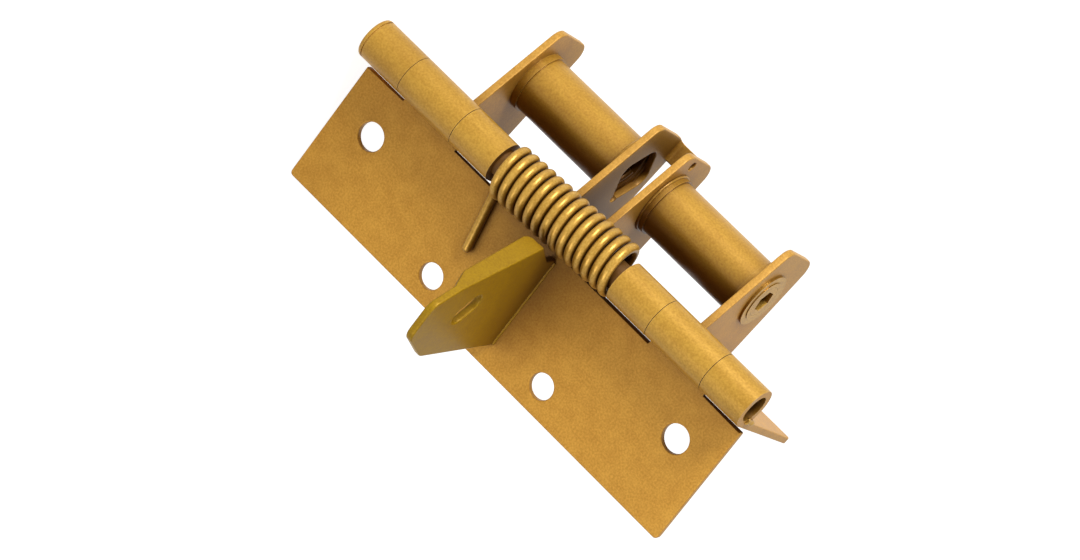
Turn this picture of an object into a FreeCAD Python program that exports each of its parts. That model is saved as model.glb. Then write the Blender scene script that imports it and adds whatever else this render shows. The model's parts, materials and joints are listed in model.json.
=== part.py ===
import FreeCAD, Part
import math
import os
import re
import Sketcher

# Spring loaded door hinge, in millimetres.
# The barrel's axis is Z, with its middle at the origin.
# Leaf 1 lies along -X, with its visible face towards +Y.
# Leaf 2 and what it carries are drawn along +X and turned into place about Z.

os.makedirs("parts", exist_ok=True)
doc = FreeCAD.newDocument("spring_loaded_door_hinge")
sizes = doc.addObject("Spreadsheet::Sheet", "sizes")

DRIVING = {
    "barrel_radius": 5.35,
    "sheet_thick": 1.85,
    "pin_clear": 0.05,
    "leaf_length": 125.0,
    "leaf_reach": 40.7,
    "leaf_notch": 7.8,
    "corner_round": 1.0,
    "rest_angle": 75.0,
    "end_knuckle": 12.2,
    "leaf_knuckle": 17.8,
    "seat_knuckle": 12.4,
    "knuckle_gap": 0.15,
    "seam_gap": 0.35,
    "seam_start": 2.2,
    "cap_thick": 1.1,
    "cap_groove": 0.35,
    "pin_recess": 5.0,
    "outer_hole_reach": 19.8,
    "outer_hole_edge": 11.1,
    "outer_hole_radius": 3.5,
    "inner_hole_edge": 6.8,
    "inner_hole_level": 18.8,
    "inner_hole_radius": 3.2,
    "coil_radius": 5.85,
    "wire_radius": 1.15,
    "coil_gap": 1.8,
    "coil_opening": 0.3,
    "coil_slip_far": 0.5,
    "coil_slip_near": 1.1,
    "leg_reach": 22.0,
    "leg_slant": 0.25,
    "ear_level": 37.2,
    "ear_height": 29.5,
    "ear_near": 20.0,
    "ear_far": 38.5,
    "ear_root": 8.2,
    "ear_step": 2.2,
    "ear_round": 4.0,
    "tube_across": 16.3,
    "tube_along": 26.2,
    "tube_radius": 7.55,
    "tube_wall": 1.4,
    "rim_step": 0.5,
    "rim_length": 1.8,
    "bracket_half": 5.9,
    "bracket_web": 6.5,
    "bend_round": 1.2,
    "window_side": 11.8,
    "window_round": 3.0,
    "window_shift": 2.0,
    "notch_radius": 1.3,
    "peg_radius": 1.15,
    "peg_edge": 2.3,
    "peg_along": 24.7,
    "bush_radius": 5.5,
    "bush_wall": 1.2,
    "bush_proud": 0.8,
    "bush_inset": 1.0,
    "ring_radius": 7.2,
    "ring_thick": 0.6,
    "socket_flats": 5.2,
    "socket_depth": 4.0,
    "collar_thick": 2.4,
    "fit_clear": 0.05,
    "loop_radius": 5.2,
    "loop_wire": 0.8,
    "loop_turns": 9,
    "collar_gap": 0.3,
    "arm_face": 3.2,
    "arm_reach": 35.4,
    "arm_root": 9.3,
    "arm_foot": 0.7,
    "arm_heel": 4.65,
    "arm_lift": 7.9,
    "arm_neck": 15.0,
    "arm_bend": 34.3,
    "arm_height": 41.5,
    "arm_crown": 4.5,
    "arm_flat": 9.5,
    "arm_shoulder": 29.8,
    "arm_flange": 5.3,
    "arm_taper": 1.05,
    "arm_mitre": 5.0,
    "arm_round": 3.5,
    "heel_round": 2.0,
    "slot_length": 9.0,
    "slot_width": 5.4,
    "slot_reach": 21.8,
    "slot_level": 23.9,
    "slot_angle": 38.0,
}

for row, (alias, number) in enumerate(DRIVING.items(), start=1):
    sizes.set("A%d" % row, alias)
    sizes.set("B%d" % row, str(number))
    sizes.setAlias("B%d" % row, alias)
doc.recompute()

# Expressions over the sheet's cells are written with the bare names of the driving dimensions.


def cell(text):
    """The expression with every driving dimension's name tied to its cell."""
    return re.sub("[a-z_]+", lambda word: "sizes." + word[0] if word[0] in DRIVING else word[0], text)


def value(text):
    """The number that the expression gives now."""
    return float(sizes.evalExpression(text))


def bind(thing, **formulas):
    """Ties properties of an object to expressions; two underscores stand for a dot."""
    for name, text in formulas.items():
        thing.setExpression(name.replace("__", "."), cell(text))


INNER = "(barrel_radius - sheet_thick)"
HALF = "(leaf_length / 2)"
LEAF_ONE_TOP = "(leaf_length / 2 - end_knuckle - knuckle_gap)"
LEAF_ONE_FOOT = "(leaf_length / 2 - end_knuckle - leaf_knuckle + knuckle_gap)"
END_FOOT = "(leaf_length / 2 - end_knuckle)"
SEAT_TOP = "(leaf_length / 2 - end_knuckle - leaf_knuckle)"
SEAT_FOOT = "(leaf_length / 2 - end_knuckle - leaf_knuckle - seat_knuckle)"
EAR_FACE = "(ear_level + sheet_thick)"
OUTER_HOLES = ("outer_hole_reach", "(leaf_length / 2 - outer_hole_edge)", "outer_hole_radius")
INNER_HOLES = ("(leaf_reach - inner_hole_edge)", "inner_hole_level", "inner_hole_radius")

# Two places on a shape that are nearer than this count as one.
SAME = 0.01
RIGHT_ANGLE = 90


def plane(body, role):
    """One of the body's own origin planes."""
    return next(item for item in body.Origin.OriginFeatures if item.Role == role)


def sketch_on(body, name, role, offset):
    """An empty sketch on an origin plane, moved along the plane's normal."""
    sketch = body.newObject("Sketcher::SketchObject", name)
    sketch.AttachmentSupport = [(plane(body, role), "")]
    sketch.MapMode = "FlatFace"
    sketch.setExpression("AttachmentOffset.Base.z", cell(offset))
    return sketch


def pin_point(sketch, item, end, across, along):
    """Holds one point of a sketch at two expressions from the origin."""
    for kind, text, axis in (("DistanceX", across, -2), ("DistanceY", along, -1)):
        if text == "0":
            sketch.addConstraint(Sketcher.Constraint("PointOnObject", item, end, axis))
            continue
        held = sketch.addConstraint(Sketcher.Constraint(kind, -1, 1, item, end, value(text)))
        sketch.setExpression("Constraints[%d]" % held, cell(text))


def polygon(sketch, corners):
    """A closed outline through corners given as pairs of expressions."""
    points = [FreeCAD.Vector(value(across), value(along), 0) for across, along in corners]
    first = sketch.GeometryCount
    for index, start in enumerate(points):
        finish = points[(index + 1) % len(points)]
        sketch.addGeometry(Part.LineSegment(start, finish), False)
    for index in range(len(points)):
        after = first + (index + 1) % len(points)
        sketch.addConstraint(Sketcher.Constraint("Coincident", first + index, 2, after, 1))
    for index, (across, along) in enumerate(corners):
        pin_point(sketch, first + index, 1, across, along)


def circle(sketch, across, along, radius):
    """A circle whose centre and radius are expressions."""
    centre = FreeCAD.Vector(value(across), value(along), 0)
    item = sketch.addGeometry(Part.Circle(centre, FreeCAD.Vector(0, 0, 1), value(radius)), False)
    held = sketch.addConstraint(Sketcher.Constraint("Radius", item, value(radius)))
    sketch.setExpression("Constraints[%d]" % held, cell(radius))
    if across == "0" and along == "0":
        sketch.addConstraint(Sketcher.Constraint("Coincident", item, 3, -1, 1))
    else:
        pin_point(sketch, item, 3, across, along)


def pad(body, name, sketch, length):
    """Thickens a sketch along its plane's normal."""
    feature = body.newObject("PartDesign::Pad", name)
    feature.Profile = sketch
    bind(feature, Length=length)
    doc.recompute()
    return feature


def pocket(body, name, sketch, length):
    """Cuts a sketch out to both sides of its plane, by half the length each way."""
    before = body.Shape.Volume
    feature = body.newObject("PartDesign::Pocket", name)
    feature.Profile = sketch
    feature.SideType = "Symmetric"
    bind(feature, Length=length)
    doc.recompute()
    assert body.Shape.Volume < before, name
    return feature


def round_edges(body, name, wanted, radius):
    """Rounds the edges of the body's last feature that the test picks out."""
    base = body.Tip
    edges = ["Edge%d" % n for n, edge in enumerate(base.Shape.Edges, start=1) if wanted(edge)]
    assert edges, name
    feature = body.newObject("PartDesign::Fillet", name)
    feature.Base = (base, edges)
    bind(feature, Radius=radius)
    doc.recompute()
    return feature


def is_upright(edge, length):
    """Whether a straight edge runs along Z over the whole of a length."""
    ends = [vertex.Point for vertex in edge.Vertexes]
    if len(ends) != 2 or edge.Curve.TypeId != "Part::GeomLine":
        return False
    run = ends[1] - ends[0]
    return abs(abs(run.z) - length) < SAME and abs(run.x) + abs(run.y) < SAME


def crosses_sheet(edge):
    """Whether a straight edge runs along Y over the sheet's thickness."""
    ends = [vertex.Point for vertex in edge.Vertexes]
    if len(ends) != 2 or edge.Curve.TypeId != "Part::GeomLine":
        return False
    run = ends[1] - ends[0]
    return abs(abs(run.y) - value("sheet_thick")) < SAME and abs(run.x) + abs(run.z) < SAME


def new_body(node):
    """An empty body whose label is the node's name."""
    body = doc.addObject("PartDesign::Body", node)
    body.Label = node
    return body


def solid(kind, name, **formulas):
    """A primitive with its sizes and place tied to the sheet."""
    shape = doc.addObject("Part::" + kind, name)
    bind(shape, **formulas)
    return shape


def joined(name, pieces):
    """One solid from several."""
    whole = doc.addObject("Part::MultiFuse", name)
    whole.Shapes = pieces
    whole.Refine = True
    return whole


def less(name, base, tool):
    """A base with a tool cut away."""
    rest = doc.addObject("Part::Cut", name)
    rest.Base = base
    rest.Tool = tool
    return rest


def swing_with_leaf_two(thing):
    """Turns a piece drawn along +X about the barrel's axis to where leaf 2 lies."""
    thing.Placement = FreeCAD.Placement(FreeCAD.Vector(), FreeCAD.Vector(0, 0, 1), value("rest_angle"))
    bind(thing, Placement__Rotation__Angle="180 + rest_angle")


def both_ends(z_low, z_high):
    """A range of Z and its mirror image, lowest first."""
    return [("-1 * " + z_high, "-1 * " + z_low), (z_low, z_high)]


def leaf(node, side, outline, knuckles):
    """A pressed leaf: flat sheet, notches, rolled knuckles with their seam, and screw holes."""
    body = new_body(node)
    sheet = sketch_on(body, node + "_outline", "XZ_Plane", INNER)
    polygon(sheet, outline)
    pad(body, node + "_sheet", sheet, "sheet_thick")
    free_edge = value("leaf_reach")
    round_edges(body, node + "_corners",
                lambda edge: crosses_sheet(edge) and abs(abs(edge.CenterOfMass.x) - free_edge) < SAME,
                "corner_round")
    for number, (z_low, z_high) in enumerate(knuckles, start=1):
        name = "%s_knuckle_%d" % (node, number)
        ring = sketch_on(body, name + "_ring", "XY_Plane", z_low)
        circle(ring, "0", "0", "barrel_radius")
        pad(body, name, ring, z_high + " - " + z_low)
        bore = sketch_on(body, name + "_bore", "XY_Plane", "(" + z_high + " + " + z_low + ") / 2")
        circle(bore, "0", "0", INNER)
        pocket(body, name + "_bored", bore, z_high + " - " + z_low)
    seam = sketch_on(body, node + "_seam", "XY_Plane", "0")
    near = side + " * seam_start"
    far = side + " * (barrel_radius + seam_gap)"
    low = "-1 * " + INNER
    high = "seam_gap - " + INNER
    polygon(seam, [(near, low), (far, low), (far, high), (near, high)])
    pocket(body, node + "_seam_cut", seam, "leaf_length")
    holes = sketch_on(body, node + "_hole_plan", "XZ_Plane", INNER)
    for reach, level, radius in (OUTER_HOLES, INNER_HOLES):
        circle(holes, side + " * " + reach, level, radius)
        circle(holes, side + " * " + reach, "-1 * " + level, radius)
    pocket(body, node + "_holes", holes, "4 * sheet_thick")
    return body


def leaf_one():
    """The door's leaf, with a knuckle between each end knuckle and each spring seat."""
    edge = "-1 * leaf_notch"
    free = "-1 * leaf_reach"
    minus = "-1 * "
    outline = [(free, minus + HALF), (edge, minus + HALF),
               (edge, minus + LEAF_ONE_TOP), ("0", minus + LEAF_ONE_TOP),
               ("0", minus + LEAF_ONE_FOOT), (edge, minus + LEAF_ONE_FOOT),
               (edge, LEAF_ONE_FOOT), ("0", LEAF_ONE_FOOT),
               ("0", LEAF_ONE_TOP), (edge, LEAF_ONE_TOP),
               (edge, HALF), (free, HALF)]
    return leaf("leaf_1", "-1", outline, both_ends(LEAF_ONE_FOOT, LEAF_ONE_TOP))


def leaf_two():
    """The frame's leaf, with the two end knuckles and the two spring seats."""
    minus = "-1 * "
    outline = [("0", minus + HALF), ("leaf_reach", minus + HALF), ("leaf_reach", HALF), ("0", HALF),
               ("0", END_FOOT), ("leaf_notch", END_FOOT),
               ("leaf_notch", SEAT_TOP), ("0", SEAT_TOP),
               ("0", SEAT_FOOT), ("leaf_notch", SEAT_FOOT),
               ("leaf_notch", minus + SEAT_FOOT), ("0", minus + SEAT_FOOT),
               ("0", minus + SEAT_TOP), ("leaf_notch", minus + SEAT_TOP),
               ("leaf_notch", minus + END_FOOT), ("0", minus + END_FOOT)]
    knuckles = both_ends(SEAT_FOOT, SEAT_TOP) + both_ends(END_FOOT, HALF)
    body = leaf("leaf_2", "1", outline, knuckles)
    swing_with_leaf_two(body)
    return body


def hinge_pin():
    """The plain pin, short of the open knuckle's mouth."""
    pin = solid("Cylinder", "hinge_pin", Radius=INNER + " - pin_clear", Height="leaf_length - pin_recess",
                Placement__Base__z="-1 * " + HALF)
    pin.Label = "hinge_pin"
    return pin


def pin_cap():
    """The cap that closes the first knuckle, with a neck that leaves a groove round it."""
    neck = solid("Cylinder", "cap_neck", Radius="barrel_radius - cap_groove", Height="cap_groove",
                 Placement__Base__z="-1 * (leaf_length / 2 + cap_groove)")
    head = solid("Cylinder", "cap_head", Radius="barrel_radius", Height="cap_thick",
                 Placement__Base__z="-1 * (leaf_length / 2 + cap_groove + cap_thick)")
    blank = joined("cap_blank", [neck, head])
    doc.recompute()
    cap = doc.addObject("Part::Fillet", "pin_cap")
    cap.Base = blank
    outer = min(range(len(blank.Shape.Edges)), key=lambda n: blank.Shape.Edges[n].BoundBox.ZMax)
    cap.Edges = [(outer + 1, value("cap_groove * 2"), value("cap_groove * 2"))]
    cap.Label = "pin_cap"
    return cap


def swept_helix(radius, wire_radius, place, height, turns):
    """A round wire swept up a right-handed helix, which starts on +X at the foot of its place."""
    path = Part.makeHelix(height / turns, height, radius)
    path.Placement = place
    start = path.Vertexes[0].Point
    tangent = path.Edges[0].tangentAt(path.Edges[0].FirstParameter)
    section = Part.Wire(Part.makeCircle(wire_radius, start, tangent))
    return path.makePipeShell([section], True, True)


def straight_wire(start, finish, radius):
    """A straight run of round wire with a rounded far end."""
    run = finish - start
    rod = Part.makeCylinder(radius, run.Length, start, run)
    return rod.fuse(Part.makeSphere(radius, finish))


def at_angle(turn, reach, level):
    """The point at an angle in degrees round the axis, at a reach from it and a level along it."""
    return FreeCAD.Vector(reach * math.cos(math.radians(turn)), reach * math.sin(math.radians(turn)), level)


def spring_leg(coil_end, bend, tip, radius):
    """The wire from the end of the coil, over one bend, to the leg's tip."""
    first = straight_wire(coil_end, bend, radius).fuse(Part.makeSphere(radius, coil_end))
    return first.fuse(straight_wire(bend, tip, radius))


def coil_spring():
    """The torsion spring, with one leg on each leaf, slack on the pin and leaning towards the tubes."""
    radius = value("coil_radius")
    wire = value("wire_radius")
    half = value(SEAT_FOOT + " - coil_gap")
    slant = value("leg_slant") * (half - wire - value("bracket_half"))
    lie = wire - value(INNER)
    bend_reach = value("leaf_notch") - wire / 2
    bend_far = math.hypot(bend_reach, lie)
    dip = math.degrees(math.atan2(-lie, bend_reach))
    wrap = math.degrees(math.acos(radius / bend_far))
    leaf_two_turn = 180 + value("rest_angle")
    start_turn = 180 + dip + wrap
    end_turn = leaf_two_turn - dip - wrap
    whole_turns = math.floor(2 * half / (2 * wire + value("coil_opening")))
    turns = whole_turns - ((start_turn - end_turn) % 360) / 360
    slip_far = value("coil_slip_far")
    slip_near = value("coil_slip_near")
    tilt = math.degrees(math.atan2(slip_far + slip_near, 2 * half))
    lean = FreeCAD.Placement(at_angle(leaf_two_turn + RIGHT_ANGLE, (slip_near - slip_far) / 2, 0),
                             FreeCAD.Rotation(at_angle(leaf_two_turn + 180, 1, 0), tilt))
    foot = FreeCAD.Placement(at_angle(0, 0, -half), FreeCAD.Rotation(at_angle(0, 0, 1), start_turn))
    coil = swept_helix(radius, wire, lean.multiply(foot), 2 * half, turns)
    legs = []
    for turn, touch, level, inwards in ((180, start_turn, -half, 1), (leaf_two_turn, end_turn, half, -1)):
        coil_end = lean.multVec(at_angle(touch, radius, level))
        above_leaf = at_angle(turn - RIGHT_ANGLE * inwards, lie, 0)
        bend = at_angle(turn, bend_reach, level) + above_leaf
        tip = at_angle(turn, value("leg_reach"), level + inwards * slant) + above_leaf
        legs.append(spring_leg(coil_end, bend, tip, wire))
    spring = doc.addObject("Part::Feature", "coil_spring")
    spring.Shape = coil.fuse(legs)
    spring.Placement = FreeCAD.Placement()
    spring.Label = "coil_spring"
    return spring


def ear_outline(sketch):
    """The outline that the two ears and the middle bracket share, from the leaf outwards."""
    low = "-1 * " + INNER
    polygon(sketch, [("ear_root", low), ("ear_far", low), ("ear_far", "ear_height"),
                     ("ear_near", "ear_height"), ("ear_root", "ear_step")])


def is_outer_corner(edge, length):
    """Whether an edge along Z stands at one of the outline's two outermost corners."""
    return is_upright(edge, length) and abs(edge.CenterOfMass.y - value("ear_height")) < SAME


def ear(node, foot):
    """One end plate, welded square to leaf 2, with the hole that its bush fills."""
    body = new_body(node)
    outline = sketch_on(body, node + "_outline", "XY_Plane", foot)
    ear_outline(outline)
    pad(body, node + "_plate", outline, "sheet_thick")
    thick = value("sheet_thick")
    round_edges(body, node + "_corners", lambda edge: is_outer_corner(edge, thick), "ear_round")
    hole = sketch_on(body, node + "_hole", "XY_Plane", foot)
    circle(hole, "tube_along", "tube_across", "bush_radius")
    pocket(body, node + "_holed", hole, "4 * sheet_thick")
    swing_with_leaf_two(body)
    return body


def middle_bracket():
    """The bent bracket between the tubes: two plates, a web at their outer ends, and windows."""
    body = new_body("middle_bracket")
    outline = sketch_on(body, "bracket_outline", "XY_Plane", "-1 * bracket_half")
    ear_outline(outline)
    pad(body, "bracket_block", outline, "2 * bracket_half")
    width = value("2 * bracket_half")
    round_edges(body, "bracket_corners", lambda edge: is_outer_corner(edge, width), "ear_round")
    space = sketch_on(body, "bracket_space", "XY_Plane", "0")
    low = "-1 * barrel_radius"
    high = "ear_height + sheet_thick"
    web_foot = "ear_height - bracket_web"
    web_back = "ear_far - sheet_thick"
    outside = "ear_far + sheet_thick"
    polygon(space, [("ear_root / 2", low), (outside, low), (outside, web_foot),
                    (web_back, web_foot), (web_back, high), ("ear_root / 2", high)])
    pocket(body, "bracket_opened", space, "2 * (bracket_half - sheet_thick)")
    thick = value("sheet_thick")
    inside = value(web_back)
    gap_half = value("bracket_half - sheet_thick")

    def on_web_bend(edge):
        """Whether an edge runs along the inside of a bend between the web and a plate."""
        middle = edge.CenterOfMass
        at_corner = abs(middle.x - inside) < SAME and abs(abs(middle.z) - gap_half) < SAME
        return at_corner and edge.BoundBox.YLength > thick

    round_edges(body, "web_bends", on_web_bend, "bend_round")
    window = sketch_on(body, "bracket_window", "XY_Plane", "0")
    half_diagonal = "window_side / sqrt(2)"
    middle = "(tube_along + window_shift)"
    polygon(window, [(middle + " - " + half_diagonal, "tube_across"),
                     (middle, "tube_across - " + half_diagonal),
                     (middle + " + " + half_diagonal, "tube_across"),
                     (middle, "tube_across + " + half_diagonal)])
    pocket(body, "bracket_windows", window, "4 * bracket_half")
    centre = FreeCAD.Vector(value(middle), value("tube_across"), 0)

    def in_window(edge):
        """Whether an edge along Z is a corner of a window."""
        middle = FreeCAD.Vector(edge.CenterOfMass.x, edge.CenterOfMass.y, 0)
        return is_upright(edge, thick) and (middle - centre).Length < value("window_side")

    round_edges(body, "window_corners", in_window, "window_round")
    notch = sketch_on(body, "window_notch", "XY_Plane", "0")
    circle(notch, middle, "tube_across - window_side / sqrt(2) + notch_radius", "notch_radius")
    pocket(body, "window_notched", notch, "4 * bracket_half")
    peg = sketch_on(body, "bracket_peg_hole", "XY_Plane", "bracket_half - sheet_thick / 2")
    circle(peg, "peg_along", "ear_height - peg_edge", "peg_radius")
    pocket(body, "bracket_pegged", peg, "2 * sheet_thick")
    swing_with_leaf_two(body)
    return body


def end_of(foot, length, side):
    """The lower end of a span of Z that starts at a foot and runs outwards on one side."""
    return foot if side > 0 else "-1 * (" + foot + " + " + length + ")"


def pipe(node, outer, inner, foot, length, side):
    """A round tube on the tubes' axis, on one side of the middle."""
    places = {"Placement__Base__x": "tube_along", "Placement__Base__y": "tube_across"}
    places["Placement__Base__z"] = end_of(foot, length, side)
    wall = solid("Cylinder", node + "_wall", Radius=outer, Height=length, **places)
    inside = solid("Cylinder", node + "_inside", Radius=inner, Height=length, **places)
    whole = less(node, wall, inside)
    whole.Label = node
    swing_with_leaf_two(whole)
    return whole


def adjuster(node, side):
    """A screw body with a collar inside the tube and a six-sided socket at its outer end."""
    foot = "(ear_level - bush_inset - collar_thick)"
    shank_length = "(sheet_thick + bush_proud + bush_inset + collar_thick)"
    places = {"Placement__Base__x": "tube_along", "Placement__Base__y": "tube_across"}
    shank = solid("Cylinder", node + "_shank", Radius="bush_radius - bush_wall - fit_clear",
                  Height=shank_length, Placement__Base__z=end_of(foot, shank_length, side), **places)
    collar_length = "(collar_thick - fit_clear)"
    collar = solid("Cylinder", node + "_collar", Radius="tube_radius - tube_wall - fit_clear",
                   Height=collar_length, Placement__Base__z=end_of(foot, collar_length, side), **places)
    mouth = "(ear_level + sheet_thick + bush_proud - socket_depth)"
    socket = solid("Prism", node + "_socket", Circumradius="socket_flats / sqrt(3)",
                   Height="socket_depth", Placement__Base__z=end_of(mouth, "socket_depth", side), **places)
    socket.Polygon = 6
    whole = less(node, joined(node + "_blank", [shank, collar]), socket)
    whole.Label = node
    swing_with_leaf_two(whole)
    return whole


def tube_spring(node, side):
    """The spring inside a tube, from the bracket's plate to the adjuster's collar."""
    wire = value("loop_wire")
    low = value("bracket_half") + wire
    high = value("ear_level - bush_inset - collar_thick - collar_gap") - wire
    start = FreeCAD.Vector(value("tube_along"), value("tube_across"), low if side > 0 else -high)
    foot = FreeCAD.Placement(start, FreeCAD.Rotation())
    coil = swept_helix(value("loop_radius"), wire, foot, high - low, value("loop_turns"))
    spring = doc.addObject("Part::Feature", node)
    spring.Shape = coil
    spring.Label = node
    swing_with_leaf_two(spring)
    return spring


def arm():
    """The slotted arm that stands on leaf 1, with a tapering flange along its bent edge."""
    body = new_body("arm")
    floor = "-1 * " + INNER
    outline = sketch_on(body, "arm_outline", "XY_Plane", "arm_face - sheet_thick")
    polygon(outline, [("-1 * arm_reach", floor), ("-1 * arm_root", floor), ("-1 * arm_root", "arm_foot"),
                      ("-1 * arm_heel", "arm_lift"), ("-1 * arm_neck", "arm_bend"),
                      ("-1 * (arm_neck + arm_crown)", "arm_height"),
                      ("-1 * (arm_neck + arm_crown + arm_flat)", "arm_height"),
                      ("-1 * arm_reach", "arm_shoulder")])
    pad(body, "arm_plate", outline, "sheet_thick")
    thick = value("sheet_thick")
    shoulder = value("arm_shoulder")
    neck = value("arm_neck")

    def is_crown_corner(edge):
        """Whether an edge is one of the plate's three corners between the neck and the free side."""
        middle = edge.CenterOfMass
        return is_upright(edge, thick) and middle.y > shoulder - SAME and middle.x < -neck - SAME

    round_edges(body, "arm_corners", is_crown_corner, "arm_round")
    strip = sketch_on(body, "arm_flange_plan", "XY_Plane", "arm_face - arm_flange")
    polygon(strip, [("-1 * (arm_heel + sheet_thick)", "arm_lift"), ("-1 * arm_heel", "arm_lift"),
                    ("-1 * arm_neck", "arm_bend"), ("-1 * (arm_neck + sheet_thick)", "arm_bend")])
    pad(body, "arm_bent_flange", strip, "arm_flange")
    taper = sketch_on(body, "arm_taper_cut", "YZ_Plane", "0")
    brim = "arm_face - arm_flange"
    back = "arm_face - sheet_thick"
    polygon(taper, [("arm_lift", brim), ("arm_bend + sheet_thick", brim), ("arm_bend + sheet_thick", back),
                    ("arm_bend", back), ("arm_bend - arm_mitre", brim + " + arm_taper")])
    pocket(body, "arm_tapered", taper, "4 * arm_reach")
    lift = value("arm_lift")
    edge_level = value(brim)

    def is_heel_corner(edge):
        """Whether an edge is the flange's outer corner beside the barrel."""
        middle = edge.CenterOfMass
        across = edge.BoundBox.YLength < SAME
        return across and abs(middle.y - lift) < SAME and abs(middle.z - edge_level) < SAME

    round_edges(body, "arm_heel_corner", is_heel_corner, "heel_round")
    slot = sketch_on(body, "arm_slot", "XY_Plane", "arm_face")
    run = "(slot_length - slot_width) / 2"
    rise = "slot_width / 2"
    corners = []
    for lengthways, widthways in (("1", "1"), ("-1", "1"), ("-1", "-1"), ("1", "-1")):
        across = "%s * %s * cos(slot_angle) + %s * %s * sin(slot_angle)" % (lengthways, run, widthways, rise)
        along = "%s * %s * cos(slot_angle) - %s * %s * sin(slot_angle)" % (widthways, rise, lengthways, run)
        corners.append(("-1 * slot_reach + " + across, "slot_level + " + along))
    polygon(slot, corners)
    pocket(body, "arm_slotted", slot, "4 * sheet_thick")
    for name, way in (("lower", "1"), ("upper", "-1")):
        end = sketch_on(body, "arm_slot_%s_end" % name, "XY_Plane", "arm_face")
        circle(end, "-1 * slot_reach + %s * %s * cos(slot_angle)" % (way, run),
               "slot_level - %s * %s * sin(slot_angle)" % (way, run), rise)
        pocket(body, "arm_slot_%s_rounded" % name, end, "4 * sheet_thick")
    return body


def check_and_export(nodes):
    """Stops on any failed object or broken solid, then writes one file for each sub-part."""
    doc.recompute()
    for item in doc.Objects:
        if "Invalid" in item.State or "Error" in item.State:
            raise RuntimeError("%s failed: %s" % (item.Name, item.State))
    for node in nodes:
        shape = node.Shape
        if shape.isNull() or not shape.isValid() or not shape.Solids:
            raise RuntimeError("%s has no sound solid" % node.Label)
        print(node.Label, len(shape.Solids), round(shape.Volume, 1), shape.BoundBox)
        shape.exportStep("parts/%s.step" % node.Label)


nodes = [leaf_one(), leaf_two(), hinge_pin(), pin_cap(), coil_spring(), middle_bracket(), arm()]
for name, side in (("far", -1), ("near", 1)):
    nodes.append(ear("ear_" + name, end_of("ear_level", "sheet_thick", side)))
    nodes.append(pipe("tube_" + name, "tube_radius", "tube_radius - tube_wall",
                      "bracket_half", "(ear_level - bracket_half)", side))
    nodes.append(pipe("bush_" + name, "bush_radius", "bush_radius - bush_wall",
                      "(ear_level - bush_inset)", "(sheet_thick + bush_proud + bush_inset)", side))
    nodes.append(pipe("ring_" + name, "ring_radius", "bush_radius",
                      EAR_FACE, "ring_thick", side))
    nodes.append(pipe("inner_rim_" + name, "tube_radius + rim_step", "tube_radius",
                      "bracket_half", "rim_length", side))
    nodes.append(pipe("outer_rim_" + name, "tube_radius + rim_step", "tube_radius",
                      "(ear_level - rim_length)", "rim_length", side))
    nodes.append(adjuster("adjuster_" + name, side))
    nodes.append(tube_spring("tube_spring_" + name, side))
check_and_export(nodes)
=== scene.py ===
"""The spring loaded door hinge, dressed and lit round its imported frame."""

import json
import logging
import math
from dataclasses import dataclass
from enum import Enum

import bmesh
import bpy
from mathutils import Matrix, Vector

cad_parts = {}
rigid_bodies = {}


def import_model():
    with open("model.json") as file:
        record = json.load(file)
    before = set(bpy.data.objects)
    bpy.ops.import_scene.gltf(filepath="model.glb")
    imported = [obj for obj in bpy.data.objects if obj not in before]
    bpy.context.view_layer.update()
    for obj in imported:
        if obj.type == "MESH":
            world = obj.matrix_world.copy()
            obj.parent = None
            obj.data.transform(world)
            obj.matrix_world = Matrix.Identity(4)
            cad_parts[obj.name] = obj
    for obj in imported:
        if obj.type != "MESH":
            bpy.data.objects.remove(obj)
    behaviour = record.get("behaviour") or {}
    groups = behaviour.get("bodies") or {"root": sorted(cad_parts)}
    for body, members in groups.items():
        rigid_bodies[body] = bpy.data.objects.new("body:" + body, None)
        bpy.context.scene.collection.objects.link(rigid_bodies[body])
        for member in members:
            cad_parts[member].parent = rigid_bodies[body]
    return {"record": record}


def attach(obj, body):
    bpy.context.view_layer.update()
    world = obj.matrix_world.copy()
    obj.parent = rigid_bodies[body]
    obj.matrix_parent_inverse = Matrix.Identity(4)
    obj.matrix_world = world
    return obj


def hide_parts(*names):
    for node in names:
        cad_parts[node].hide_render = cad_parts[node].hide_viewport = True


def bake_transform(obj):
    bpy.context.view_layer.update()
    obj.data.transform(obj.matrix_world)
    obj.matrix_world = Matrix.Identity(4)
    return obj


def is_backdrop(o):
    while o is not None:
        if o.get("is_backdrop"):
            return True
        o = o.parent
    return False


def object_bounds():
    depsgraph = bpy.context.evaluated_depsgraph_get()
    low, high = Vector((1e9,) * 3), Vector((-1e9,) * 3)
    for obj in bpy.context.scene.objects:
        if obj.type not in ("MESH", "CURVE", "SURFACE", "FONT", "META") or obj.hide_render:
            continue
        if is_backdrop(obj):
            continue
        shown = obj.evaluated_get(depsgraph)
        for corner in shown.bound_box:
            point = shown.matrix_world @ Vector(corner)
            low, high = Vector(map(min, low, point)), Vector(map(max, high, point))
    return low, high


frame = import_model()

LOG = logging.getLogger("hinge")
MM = 0.001
CAD_BOX = [list(map(float, corner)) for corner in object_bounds()]
LOWEST = CAD_BOX[0][2]
LEAF_FACE = -3.5
LEAF_TWO_TURN = math.radians(255)
TUBE_AXIS = (8.96 * MM, -29.525 * MM)
SAME_POINT = 0.002 * MM
SMOOTH_ANGLE = 40.0

Colour = tuple[float, float, float]
Place = tuple[float, float, float]


class Wear(Enum):
    """How much a coat has been rubbed along its edges."""

    HANDLED = 0.35
    RUBBED = 0.6


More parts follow.
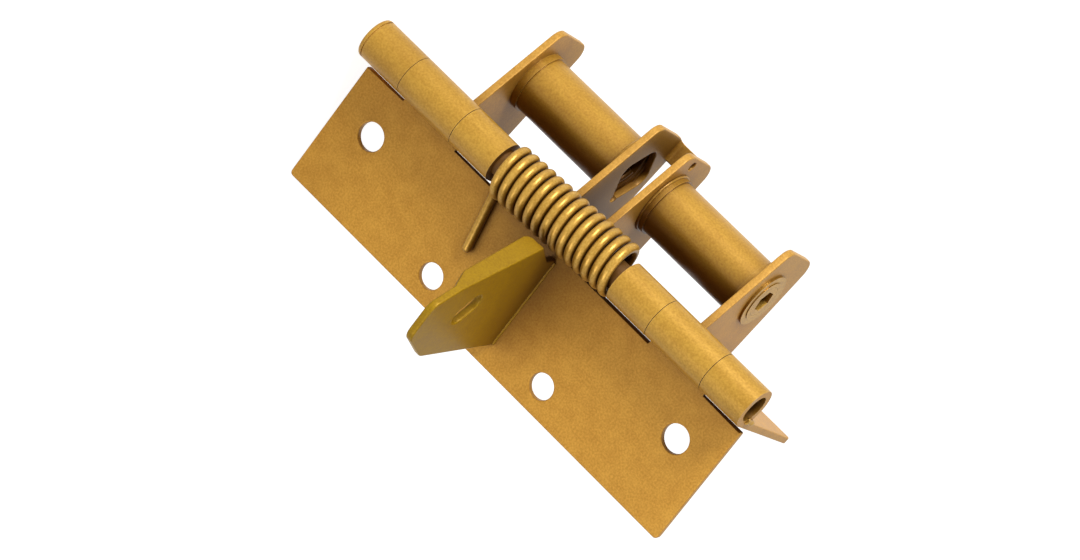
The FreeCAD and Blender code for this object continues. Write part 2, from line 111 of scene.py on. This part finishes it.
@dataclass(frozen=True)
class Bronze:
    """A satin gold-bronze coat over steel.

    Attributes:
        name: the material's name.
        light: the coat's colour where it is thick.
        dark: the coat's colour in its pores and uneven patches.
        rubbed: the colour of the edges where the coat is rubbed.
        painted_shade: painted shade, a dark colour laid in the recesses between the pieces where shade falls.
        reach: how far the painted shade goes into a recess, in metres.
        roughness: the middle of the coat's roughness.
        metallic: how much of the coat is metal flake.
        lacquer: how much clear lacquer lies over the coat.
        shine: how much the coat's binder reflects, where 0.5 is a plain clear varnish.
        grain: size of the fine speckle, in metres.
        mottle: size of the uneven patches, in metres.
        streak: how far the patches are drawn out along the part's X, Y and Z.
        peel: height of the fine orange peel, in metres.
        waviness: height of the slow unevenness that breaks up highlights, in metres.
        edge: how wide the rubbed band along an edge is, in metres.
        wear: how much the edges are rubbed.
        speck_range: the values of the pores between which the colour goes from dark to light.
        uneven: how far the roughness falls and rises with the pores.
        painted_shade_range: the shares of open sky between which the painted shade goes from none to full.
    """

    name: str
    light: Colour
    dark: Colour
    rubbed: Colour = (0.80, 0.56, 0.22)
    painted_shade: Colour = (0.120, 0.045, 0.003)
    reach: float = 22.0 * MM
    roughness: float = 0.42
    metallic: float = 0.2
    lacquer: float = 0.12
    shine: float = 0.22
    grain: float = 0.5 * MM
    mottle: float = 4.0 * MM
    streak: tuple[float, float, float] = (1.0, 1.0, 1.0)
    peel: float = 0.012 * MM
    waviness: float = 0.015 * MM
    edge: float = 0.35 * MM
    wear: Wear = Wear.HANDLED
    speck_range: tuple[float, float] = (0.36, 0.62)
    uneven: tuple[float, float] = (-0.03, 0.05)
    painted_shade_range: tuple[float, float] = (0.92, 0.32)

    def build(self) -> bpy.types.Material:
        """Makes the node material.

        Returns:
            The finished material.
        """
        material = bpy.data.materials.new(self.name)
        material.use_nodes = True
        tree = material.node_tree
        shader = tree.nodes["Principled BSDF"]
        shader.inputs["Metallic"].default_value = self.metallic
        shader.inputs["Specular IOR Level"].default_value = self.shine
        shader.inputs["Coat Weight"].default_value = self.lacquer
        shader.inputs["Coat Roughness"].default_value = self.roughness
        place = tree.nodes.new("ShaderNodeTexCoord")
        stretch = tree.nodes.new("ShaderNodeMapping")
        stretch.inputs["Scale"].default_value = self.streak
        tree.links.new(place.outputs["Object"], stretch.inputs["Vector"])
        speck = self._noise(tree, place.outputs["Object"], self.grain, 3.0)
        patches = self._noise(tree, stretch.outputs["Vector"], self.mottle, 2.0)
        pores = self._mix_float(tree, 0.3, speck, patches)
        colour = self._ramp(tree, pores, (self.speck_range[0], self.dark), (self.speck_range[1], self.light))
        worn = self._over(tree, self._edge_mask(tree, speck), colour, self.rubbed)
        # Painted shade: the recesses are darkened towards a dark brown, standing in for the shade that falls
        # between the pieces.
        with_painted_shade = self._over(tree, self._painted_shade_mask(tree, place.outputs["Object"]), worn, self.painted_shade)
        tree.links.new(with_painted_shade, shader.inputs["Base Color"])
        rough = self._spread(tree, pores, (0.3, 0.7), tuple(self.roughness + step for step in self.uneven))
        tree.links.new(rough, shader.inputs["Roughness"])
        slow = self._bump(tree, patches, self.waviness, 0.5, None)
        fine = self._bump(tree, speck, self.peel, 0.6, slow)
        tree.links.new(fine, shader.inputs["Normal"])
        return material

    def _spread(self, tree: bpy.types.NodeTree, source: bpy.types.NodeSocket, low_high: tuple[float, float],
                result: tuple[float, float] = (0.0, 1.0)) -> bpy.types.NodeSocket:
        """Spreads one range of a value over another range.

        Args:
            tree: the material's node tree.
            source: the value.
            low_high: the value's first and last step.
            result: what they become.

        Returns:
            The spread value, held between the two results.
        """
        node = tree.nodes.new("ShaderNodeMapRange")
        node.inputs["From Min"].default_value, node.inputs["From Max"].default_value = low_high
        node.inputs["To Min"].default_value, node.inputs["To Max"].default_value = result
        tree.links.new(source, node.inputs["Value"])
        return node.outputs["Result"]

    def _product(self, tree: bpy.types.NodeTree, first: bpy.types.NodeSocket,
                 second: bpy.types.NodeSocket) -> bpy.types.NodeSocket:
        """Multiplies two values.

        Args:
            tree: the material's node tree.
            first: one value.
            second: the other value.

        Returns:
            Their product, held between nought and one.
        """
        node = tree.nodes.new("ShaderNodeMath")
        node.operation = "MULTIPLY"
        node.use_clamp = True
        tree.links.new(first, node.inputs[0])
        tree.links.new(second, node.inputs[1])
        return node.outputs["Value"]

    def _noise(self, tree: bpy.types.NodeTree, source: bpy.types.NodeSocket, size: float,
               detail: float) -> bpy.types.NodeSocket:
        """Adds a noise texture.

        Args:
            tree: the material's node tree.
            source: the coordinates that it reads.
            size: the size of its grain, in metres.
            detail: octaves of detail.

        Returns:
            The noise's value.
        """
        node = tree.nodes.new("ShaderNodeTexNoise")
        node.inputs["Scale"].default_value = 1.0 / size
        node.inputs["Detail"].default_value = detail
        tree.links.new(source, node.inputs["Vector"])
        return node.outputs["Fac"]

    def _mix_float(self, tree: bpy.types.NodeTree, share: float, first: bpy.types.NodeSocket,
                   second: bpy.types.NodeSocket) -> bpy.types.NodeSocket:
        """Blends two values.

        Args:
            tree: the material's node tree.
            share: how much of the second value shows.
            first: one value.
            second: the other value.

        Returns:
            The blend.
        """
        node = tree.nodes.new("ShaderNodeMix")
        node.data_type = "FLOAT"
        node.inputs["Factor"].default_value = share
        tree.links.new(first, node.inputs["A"])
        tree.links.new(second, node.inputs["B"])
        return node.outputs["Result"]

    def _ramp(self, tree: bpy.types.NodeTree, source: bpy.types.NodeSocket,
              *stops: tuple[float, Colour]) -> bpy.types.NodeSocket:
        """Turns a value into a colour.

        Args:
            tree: the material's node tree.
            source: the value.
            stops: the two stops, each a position and a colour.

        Returns:
            The colour.
        """
        node = tree.nodes.new("ShaderNodeValToRGB")
        for element, (position, colour) in zip(node.color_ramp.elements, stops):
            element.position = position
            element.color = (*colour, 1.0)
        tree.links.new(source, node.inputs["Fac"])
        return node.outputs["Color"]

    def _over(self, tree: bpy.types.NodeTree, share: bpy.types.NodeSocket, under: bpy.types.NodeSocket,
              colour: Colour) -> bpy.types.NodeSocket:
        """Lays one plain colour over another.

        Args:
            tree: the material's node tree.
            share: how much of the plain colour shows.
            under: the colour beneath.
            colour: the plain colour.

        Returns:
            The blend.
        """
        node = tree.nodes.new("ShaderNodeMix")
        node.data_type = "RGBA"
        tree.links.new(share, node.inputs["Factor"])
        tree.links.new(under, node.inputs["A"])
        node.inputs["B"].default_value = (*colour, 1.0)
        return node.outputs["Result"]

    def _painted_shade_mask(self, tree: bpy.types.NodeTree, place: bpy.types.NodeSocket) -> bpy.types.NodeSocket:
        """Finds the recesses between the pieces, where painted shade darkens the coat.

        The hinge's lowest end is left out, because only the floor closes it in.

        Args:
            tree: the material's node tree.
            place: the object's coordinates.

        Returns:
            How much painted shade shows.
        """
        open_sky = tree.nodes.new("ShaderNodeAmbientOcclusion")
        open_sky.samples = 8
        open_sky.inputs["Distance"].default_value = self.reach
        # The less open sky a point sees, the more painted shade it takes.
        thin = self._spread(tree, open_sky.outputs["AO"], self.painted_shade_range)
        height = tree.nodes.new("ShaderNodeSeparateXYZ")
        tree.links.new(place, height.inputs["Vector"])
        above = self._spread(tree, height.outputs["Z"], (LOWEST, LOWEST + self.reach))
        return self._product(tree, thin, above)

    def _edge_mask(self, tree: bpy.types.NodeTree, speck: bpy.types.NodeSocket) -> bpy.types.NodeSocket:
        """Finds the edges, broken up by the speckle.

        Args:
            tree: the material's node tree.
            speck: the fine noise.

        Returns:
            How much the coat is rubbed.
        """
        soft = tree.nodes.new("ShaderNodeBevel")
        soft.samples = 6
        soft.inputs["Radius"].default_value = self.edge
        true = tree.nodes.new("ShaderNodeNewGeometry")
        lean = tree.nodes.new("ShaderNodeVectorMath")
        lean.operation = "DOT_PRODUCT"
        tree.links.new(soft.outputs["Normal"], lean.inputs[0])
        tree.links.new(true.outputs["Normal"], lean.inputs[1])
        band = self._spread(tree, lean.outputs["Value"], (0.99, 0.80), (0.0, self.wear.value))
        return self._product(tree, band, speck)

    def _bump(self, tree: bpy.types.NodeTree, height: bpy.types.NodeSocket, distance: float, strength: float,
              before: bpy.types.NodeSocket | None) -> bpy.types.NodeSocket:
        """Adds one layer of bump.

        Args:
            tree: the material's node tree.
            height: the value that raises the surface.
            distance: its full height, in metres.
            strength: how much of it shows.
            before: the normal of the layer under it, if there is one.

        Returns:
            The bent normal.
        """
        node = tree.nodes.new("ShaderNodeBump")
        node.inputs["Distance"].default_value = distance
        node.inputs["Strength"].default_value = strength
        tree.links.new(height, node.inputs["Height"])
        if before is not None:
            tree.links.new(before, node.inputs["Normal"])
        return node.outputs["Normal"]


@dataclass
class Finishes:
    """Every finish on the hinge, by material slot of the record."""

    leaf: Bronze = Bronze("leaf_coat", (0.640, 0.325, 0.042), (0.470, 0.215, 0.020), lacquer=0.06)
    barrel: Bronze = Bronze("barrel_coat", (0.560, 0.310, 0.038), (0.430, 0.215, 0.020), roughness=0.34,
                            shine=0.35, lacquer=0.0, metallic=0.25, streak=(1.0, 1.0, 0.4),
                            waviness=0.03 * MM, reach=30.0 * MM)
    pin: Bronze = Bronze("pin_coat", (0.28, 0.16, 0.05), (0.16, 0.09, 0.03), roughness=0.5)
    spring: Bronze = Bronze("spring_coat", (0.600, 0.350, 0.062), (0.440, 0.230, 0.026), roughness=0.34,
                            metallic=0.4, wear=Wear.RUBBED)
    plate: Bronze = Bronze("plate_coat", (0.610, 0.325, 0.055), (0.470, 0.230, 0.030), reach=12.0 * MM)
    tube: Bronze = Bronze("tube_coat", (0.560, 0.305, 0.034), (0.430, 0.210, 0.018), roughness=0.34,
                          shine=0.35, lacquer=0.0, metallic=0.25, streak=(1.0, 1.0, 0.3),
                          waviness=0.03 * MM, reach=40.0 * MM)
    fitting: Bronze = Bronze("fitting_coat", (0.600, 0.350, 0.060), (0.420, 0.215, 0.025), roughness=0.34,
                             metallic=0.6, lacquer=0.0, wear=Wear.RUBBED, reach=4.0 * MM)
    arm: Bronze = Bronze("arm_coat", (0.370, 0.212, 0.006), (0.290, 0.155, 0.004), shine=0.12, lacquer=0.06,
                         reach=24.0 * MM)

    def by_slot(self) -> dict[str, bpy.types.Material]:
        """Builds each finish once.

        Returns:
            The material for each slot's name.
        """
        return {
            "leaf_bronze": self.leaf.build(),
            "barrel_bronze": self.barrel.build(),
            "pin_bronze": self.pin.build(),
            "spring_bronze": self.spring.build(),
            "plate_bronze": self.plate.build(),
            "tube_bronze": self.tube.build(),
            "fitting_bronze": self.fitting.build(),
            "arm_bronze": self.arm.build(),
        }


def only(*chosen: bpy.types.Object) -> None:
    """Selects these objects and nothing else, and makes the first one active.

    Args:
        chosen: the objects to select.
    """
    bpy.ops.object.select_all(action="DESELECT")
    for piece in chosen:
        piece.select_set(True)
    bpy.context.view_layer.objects.active = chosen[0]


def merged_copy(node: str, name: str) -> bpy.types.Object:
    """Copies a CAD node's mesh into a new piece and merges it.

    Args:
        node: the CAD node.
        name: the new piece's name.

    Returns:
        The new piece, alone selected, in edit mode.
    """
    piece = bpy.data.objects.new(name, bpy.data.objects[node].data.copy())
    bpy.context.scene.collection.objects.link(piece)
    only(piece)
    bpy.ops.object.mode_set(mode="EDIT")
    bpy.ops.mesh.select_mode(type="VERT")
    bpy.ops.mesh.select_all(action="SELECT")
    bpy.ops.mesh.remove_doubles(threshold=SAME_POINT)
    bpy.ops.mesh.customdata_custom_splitnormals_clear()
    return piece


def smooth_with_flats(piece: bpy.types.Object) -> None:
    """Smooths a piece, with its large flat faces kept flat.

    Args:
        piece: the piece.
    """
    only(piece)
    bpy.ops.object.shade_smooth_by_angle(angle=math.radians(SMOOTH_ANGLE))
    bpy.ops.object.modifier_add(type="WEIGHTED_NORMAL")
    piece.modifiers[-1].keep_sharp = True
    bpy.ops.object.modifier_apply(modifier=piece.modifiers[-1].name)


@dataclass
class CoatedSheet:
    """A pressed sheet piece whose cut edges are softened, as the thick coat softens them.

    Attributes:
        node: the CAD node that it stands for.
        body: the body that it rides on.
        slot: the record's slot of its finish.
        soft: the radius of its edges, in metres.
        clear_of_barrel: edges nearer to the barrel's axis than this stay sharp, in metres.
        rolled: faces that lie wholly inside this reach of the axis take the second finish, in metres.
        sharpest: edges that turn less than this stay as they are, in degrees.
        flat: faces that turn less than this from each other are joined, in degrees.
    """

    node: str
    body: str
    slot: str
    soft: float = 0.32 * MM
    clear_of_barrel: float = 0.0
    rolled: float = 0.0
    sharpest: float = 35.0
    flat: float = 0.6

    def build(self, *finishes: bpy.types.Material) -> bpy.types.Object:
        """Copies the node's mesh, merges it and rounds its edges.

        Args:
            finishes: the finish, and the rolled part's own one if it has one.

        Returns:
            The finished piece.
        """
        piece = merged_copy(self.node, self.node + "_coated")
        mesh = piece.data
        bpy.ops.mesh.dissolve_limited(angle_limit=math.radians(self.flat))
        bpy.ops.mesh.select_all(action="DESELECT")
        bpy.ops.mesh.select_mode(type="EDGE")
        self._select_edges(mesh)
        bpy.ops.mesh.bevel(offset=self.soft, offset_type="OFFSET", segments=3, profile=0.5, affect="EDGES",
                           clamp_overlap=False)
        bpy.ops.object.mode_set(mode="OBJECT")
        smooth_with_flats(piece)
        mesh.materials.clear()
        for finish in finishes:
            mesh.materials.append(finish)
        for face in mesh.polygons:
            corners = [mesh.vertices[index].co for index in face.vertices]
            face.material_index = int(max(math.hypot(corner.x, corner.y) for corner in corners) < self.rolled)
        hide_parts(self.node)
        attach(piece, self.body)
        LOG.info("rounded the edges of %s", self.node)
        return piece

    def _select_edges(self, mesh: bpy.types.Mesh) -> None:
        """Selects the outer edges that the coat softens.

        Args:
            mesh: the mesh, in edit mode.
        """
        cage = bmesh.from_edit_mesh(mesh)
        for edge in cage.edges:
            middle = (edge.verts[0].co + edge.verts[1].co) / 2
            reach = math.hypot(middle.x, middle.y)
            turned = len(edge.link_faces) == 2 and edge.calc_face_angle(0.0) > math.radians(self.sharpest)
            if turned and edge.is_convex and reach > self.clear_of_barrel:
                edge.select_set(True)
        bmesh.update_edit_mesh(mesh)


@dataclass
class TorsionSpring:
    """The spring round the pin.

    Attributes:
        node: the CAD node that it stands for.
        leg_one: how far along the barrel the leg on leaf 1 reaches, in metres; not used.
        leg_two: where along the barrel the leg on leaf 2 begins, in metres; not used.
    """

    node: str = "coil_spring"
    leg_one: float = -13.5 * MM
    leg_two: float = 13.5 * MM

    def build(self, material: bpy.types.Material) -> bpy.types.Object:
        """Copies the node's mesh, merges it and smooths it.

        Args:
            material: the finish.

        Returns:
            The finished spring.
        """
        piece = merged_copy(self.node, self.node + "_wound")
        bpy.ops.object.mode_set(mode="OBJECT")
        bpy.ops.object.shade_smooth_by_angle(angle=math.radians(SMOOTH_ANGLE))
        piece.data.materials.clear()
        piece.data.materials.append(material)
        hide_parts(self.node)
        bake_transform(piece)
        LOG.info("wound %s", self.node)
        return piece


def ripple(piece: bpy.types.Object, size: float, height: float) -> None:
    """Pushes a weld's skin in and out.

    Args:
        piece: the weld.
        size: the size of the lumps, in metres.
        height: how far they stand out, in metres.
    """
    cloud = bpy.data.textures.new(piece.name + "_lumps", "CLOUDS")
    cloud.noise_scale = size
    lumps = piece.modifiers.new("lumps", "DISPLACE")
    lumps.texture = cloud
    lumps.texture_coords = "LOCAL"
    lumps.strength = height
    only(piece)
    bpy.ops.object.modifier_apply(modifier=lumps.name)


@dataclass
class WeldRing:
    """A weld round the root of a tube, on the bracket's plate.

    Attributes:
        name: the piece's name.
        along: its place along the barrel, in metres.
        ring: the radius of its middle line, in metres.
        radius: half of its width, in metres.
    """

    name: str
    along: float
    ring: float
    radius: float

    def build(self, material: bpy.types.Material) -> bpy.types.Object:
        """Draws the ring and ripples it.

        Args:
            material: the finish.

        Returns:
            The finished ring.
        """
        bpy.ops.object.select_all(action="DESELECT")
        bpy.ops.mesh.primitive_torus_add(location=(*TUBE_AXIS, self.along), major_radius=self.ring,
                                         minor_radius=self.radius, major_segments=120, minor_segments=12)
        piece = bpy.context.object
        piece.name = self.name
        bpy.ops.object.transform_apply(location=True, rotation=True, scale=True)
        ripple(piece, 2.5 * self.radius, 0.5 * self.radius)
        bpy.ops.object.shade_smooth()
        piece.data.materials.append(material)
        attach(piece, "frame_side")
        LOG.info("laid %s", self.name)
        return piece


@dataclass
class WeldBead:
    """A thin lumpy weld where one piece stands on another.

    Attributes:
        name: the piece's name.
        body: the body that it rides on.
        slot: the record's slot of its finish.
        start: the middle of one end.
        end: the middle of the other end.
        radius: half of its width, in metres.
        lumps: how far its lumps stand out, in metres.
    """

    name: str
    body: str
    slot: str
    start: Place
    end: Place
    radius: float = 0.45 * MM
    lumps: float = 0.35 * MM

    def build(self, material: bpy.types.Material) -> bpy.types.Object:
        """Draws the bead along its line and ripples it.

        Args:
            material: the finish.

        Returns:
            The finished bead.
        """
        run = Vector(self.end) - Vector(self.start)
        bpy.ops.object.select_all(action="DESELECT")
        bpy.ops.mesh.primitive_cylinder_add(vertices=12, radius=self.radius, depth=run.length,
                                            location=(Vector(self.start) + Vector(self.end)) / 2,
                                            rotation=run.to_track_quat("Z", "Y").to_euler())
        piece = bpy.context.object
        piece.name = self.name
        bpy.ops.object.transform_apply(location=True, rotation=True, scale=True)
        bpy.ops.object.mode_set(mode="EDIT")
        bpy.ops.mesh.select_mode(type="EDGE")
        self._select_sides(piece.data, run.length, sides=True)
        bpy.ops.mesh.subdivide(number_cuts=max(2, int(run.length / (0.7 * self.radius))))
        self._select_sides(piece.data, run.length, sides=False)
        bpy.ops.mesh.bevel(offset=0.5 * self.radius, segments=3, affect="EDGES")
        bpy.ops.mesh.select_all(action="SELECT")
        bpy.ops.mesh.normals_make_consistent(inside=False)
        bpy.ops.object.mode_set(mode="OBJECT")
        ripple(piece, 1.8 * self.radius, self.lumps)
        bpy.ops.object.shade_smooth()
        piece.data.materials.append(material)
        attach(piece, self.body)
        LOG.info("laid %s", self.name)
        return piece

    def _select_sides(self, mesh: bpy.types.Mesh, length: float, sides: bool) -> None:
        """Selects the long edges of the bead, or the rims of its two ends.

        Args:
            mesh: the mesh, in edit mode.
            length: the bead's length.
            sides: whether the long edges are wanted.
        """
        bpy.ops.mesh.select_all(action="DESELECT")
        cage = bmesh.from_edit_mesh(mesh)
        for edge in cage.edges:
            if sides:
                edge.select_set(edge.calc_length() > 0.9 * length)
            else:
                edge.select_set(any(len(face.verts) > 4 for face in edge.link_faces))
        bmesh.update_edit_mesh(mesh)


def on_leaf_one(out: float, up: float, along: float) -> Place:
    """Finds a place on leaf 1.

    Args:
        out: distance from the barrel's axis along the leaf, in millimetres.
        up: distance from the leaf's own plane through the axis, in millimetres.
        along: place along the barrel, in millimetres.

    Returns:
        The place, in metres.
    """
    return (-out * MM, up * MM, along * MM)


def on_leaf_two(out: float, up: float, along: float) -> Place:
    """Finds a place on leaf 2.

    Args:
        out: distance from the barrel's axis along the leaf, in millimetres.
        up: distance from the leaf's own plane through the axis, in millimetres.
        along: place along the barrel, in millimetres.

    Returns:
        The place, in metres.
    """
    cosine, sine = math.cos(LEAF_TWO_TURN), math.sin(LEAF_TWO_TURN)
    return ((out * cosine - up * sine) * MM, (out * sine + up * cosine) * MM, along * MM)


def lay_welds(materials: dict[str, bpy.types.Material]) -> None:
    """Lays the welds of the arm, the ears, the bracket, the tubes and the open knuckle's seam.

    Args:
        materials: the material for each slot's name.
    """
    for side, along in (("far", 1.35), ("near", 3.2)):
        WeldBead("weld_arm_" + side, "door_side", "arm_bronze", on_leaf_one(9.8, LEAF_FACE, along),
                 on_leaf_one(35.0, LEAF_FACE, along)).build(materials["arm_bronze"])
    for name, along in (("ear_far_out", -39.05), ("ear_far_in", -37.2), ("ear_near_in", 37.2),
                        ("ear_near_out", 39.05), ("bracket_far", -5.9), ("bracket_near", 5.9)):
        WeldBead("weld_" + name, "frame_side", "plate_bronze", on_leaf_two(8.8, LEAF_FACE, along),
                 on_leaf_two(38.0, LEAF_FACE, along), radius=0.5 * MM).build(materials["plate_bronze"])
    for name, along, ring, radius in (("far", -6.3, 8.55, 0.8), ("near", 6.1, 8.1, 0.4)):
        WeldRing("weld_tube_" + name, along * MM, ring * MM, radius * MM).build(materials["tube_bronze"])
    WeldBead("weld_seam", "frame_side", "spring_bronze", on_leaf_two(2.0, -3.3, 62.5),
             on_leaf_two(5.4, -3.3, 62.5), radius=0.8 * MM, lumps=0.9 * MM).build(materials["spring_bronze"])


@dataclass
class Studio:
    """The floor, the soft lights and the camera.

    Attributes:
        floor_span: the floor's width.
        room_light: how bright the room is to the object's matt colour.
        floor_tone: the floor's matt colour, which lights the hinge from below.
        floor_glow: the white that is added where the floor is seen.
        eye: where the camera stands.
        look_at: the point that the camera looks at.
        roll: how far the camera is turned about its own axis, in degrees.
        lens: focal length for a 36 mm wide picture, in millimetres.
    """

    floor_span: float = 12.0
    room_light: float = 0.12
    floor_tone: float = 0.45
    floor_glow: float = 0.88
    eye: Place = (349.5 * MM, 897.9 * MM, 319.1 * MM)
    look_at: Place = (-12.7 * MM, 3.3 * MM, 5.3 * MM)
    roll: float = 134.69
    lens: float = 150.0

    def lay_floor(self) -> bpy.types.Object:
        """Lays a plain pale floor under the hinge.

        Returns:
            The floor.
        """
        bpy.ops.object.select_all(action="DESELECT")
        bpy.ops.mesh.primitive_plane_add(size=self.floor_span, location=(0, 0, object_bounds()[0][2]))
        floor = bpy.context.object
        floor.name = "floor"
        floor.data.materials.append(self._white("floor_white"))
        floor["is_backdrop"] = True
        return floor

    def _seen(self, tree: bpy.types.NodeTree) -> bpy.types.NodeSocket:
        """Tells the rays that see the white ground from those that only light the hinge.

        Args:
            tree: the node tree of the floor or the room.

        Returns:
            One for a camera, glossy or transmission ray, else nought.
        """
        path = tree.nodes.new("ShaderNodeLightPath")
        total = path.outputs["Is Camera Ray"]
        for name in ("Is Glossy Ray", "Is Transmission Ray"):
            either = tree.nodes.new("ShaderNodeMath")
            either.operation = "MAXIMUM"
            tree.links.new(total, either.inputs[0])
            tree.links.new(path.outputs[name], either.inputs[1])
            total = either.outputs["Value"]
        return total

    def _white(self, name: str) -> bpy.types.Material:
        """A matt white that the camera sees as the picture's white ground, shadow and all.

        Args:
            name: the material's name.

        Returns:
            The material.
        """
        material = bpy.data.materials.new(name)
        material.use_nodes = True
        tree = material.node_tree
        shader = tree.nodes["Principled BSDF"]
        shader.inputs["Base Color"].default_value = (self.floor_tone, self.floor_tone, self.floor_tone, 1.0)
        shader.inputs["Roughness"].default_value = 0.9
        shader.inputs["Emission Color"].default_value = (1.0, 1.0, 1.0, 1.0)
        glow = tree.nodes.new("ShaderNodeMath")
        glow.operation = "MULTIPLY"
        glow.inputs[1].default_value = self.floor_glow
        tree.links.new(self._seen(tree), glow.inputs[0])
        tree.links.new(glow.outputs["Value"], shader.inputs["Emission Strength"])
        return material

    def set_world(self) -> None:
        """Fills the room with even light, and shows it white."""
        world = bpy.data.worlds.new("room")
        bpy.context.scene.world = world
        world.use_nodes = True
        tree = world.node_tree
        ground = tree.nodes["Background"]
        ground.inputs["Color"].default_value = (1.0, 1.0, 1.0, 1.0)
        level = tree.nodes.new("ShaderNodeMapRange")
        level.inputs["To Min"].default_value = self.room_light
        level.inputs["To Max"].default_value = 1.0
        tree.links.new(self._seen(tree), level.inputs["Value"])
        tree.links.new(level.outputs["Result"], ground.inputs["Strength"])

    def stand_camera(self) -> bpy.types.Object:
        """Stands the camera at the photograph's view.

        Returns:
            The camera.
        """
        data = bpy.data.cameras.new("camera")
        data.lens = self.lens
        data.clip_start = 0.05
        data.clip_end = 60.0
        camera = bpy.data.objects.new("camera", data)
        bpy.context.scene.collection.objects.link(camera)
        eye = Vector(self.eye)
        turn = (Vector(self.look_at) - eye).to_track_quat("-Z", "Y").to_matrix().to_4x4()
        camera.matrix_world = Matrix.Translation(eye) @ turn @ Matrix.Rotation(math.radians(self.roll), 4, "Z")
        bpy.context.scene.camera = camera
        return camera

    def hang_lamp(self, name: str, place: Place, size: float, power: float) -> None:
        """Hangs one soft square lamp that points at the hinge.

        Args:
            name: the lamp's name.
            place: where it hangs, in metres.
            size: its side, in metres.
            power: its power, in watts.
        """
        data = bpy.data.lights.new(name, "AREA")
        data.size = size
        data.energy = power
        lamp = bpy.data.objects.new(name, data)
        bpy.context.scene.collection.objects.link(lamp)
        lamp.location = place
        lamp.rotation_euler = (Vector(self.look_at) - Vector(place)).to_track_quat("-Z", "Y").to_euler()


def dress_nodes(materials: dict[str, bpy.types.Material]) -> None:
    """Gives each carried-over node its finish.

    Args:
        materials: the material for each slot's name.
    """
    for part in frame["record"]["subparts"]:
        node = bpy.data.objects[part["node"]]
        node.data.materials.clear()
        node.data.materials.append(materials[part["material_slot"]])
        LOG.info("dressed %s with %s", part["node"], part["material_slot"])


def main() -> None:
    """Builds the studio and the dressed hinge."""
    logging.basicConfig(level=logging.INFO)
    studio = Studio()
    studio.lay_floor()
    studio.set_world()
    studio.stand_camera()
    studio.hang_lamp("key", (1.15, 0.4, 0.25), 0.4, 16.5)
    studio.hang_lamp("front", (-0.7, 1.1, 0.25), 0.6, 6.5)
    studio.hang_lamp("top", (0.1, 0.1, 1.2), 0.8, 3.5)
    materials = Finishes().by_slot()
    dress_nodes(materials)
    for node, body in (("leaf_1", "door_side"), ("leaf_2", "frame_side")):
        leaf = CoatedSheet(node, body, "leaf_bronze", clear_of_barrel=6.2 * MM, rolled=5.4 * MM)
        leaf.build(materials["leaf_bronze"], materials["barrel_bronze"])
    CoatedSheet("arm", "door_side", "arm_bronze", soft=0.4 * MM).build(materials["arm_bronze"])
    for node in ("ear_far", "ear_near", "middle_bracket"):
        CoatedSheet(node, "frame_side", "plate_bronze").build(materials["plate_bronze"])
    TorsionSpring().build(materials["spring_bronze"])
    lay_welds(materials)
    bpy.context.scene.view_settings.view_transform = "Standard"


if __name__ == "__main__":
    main()
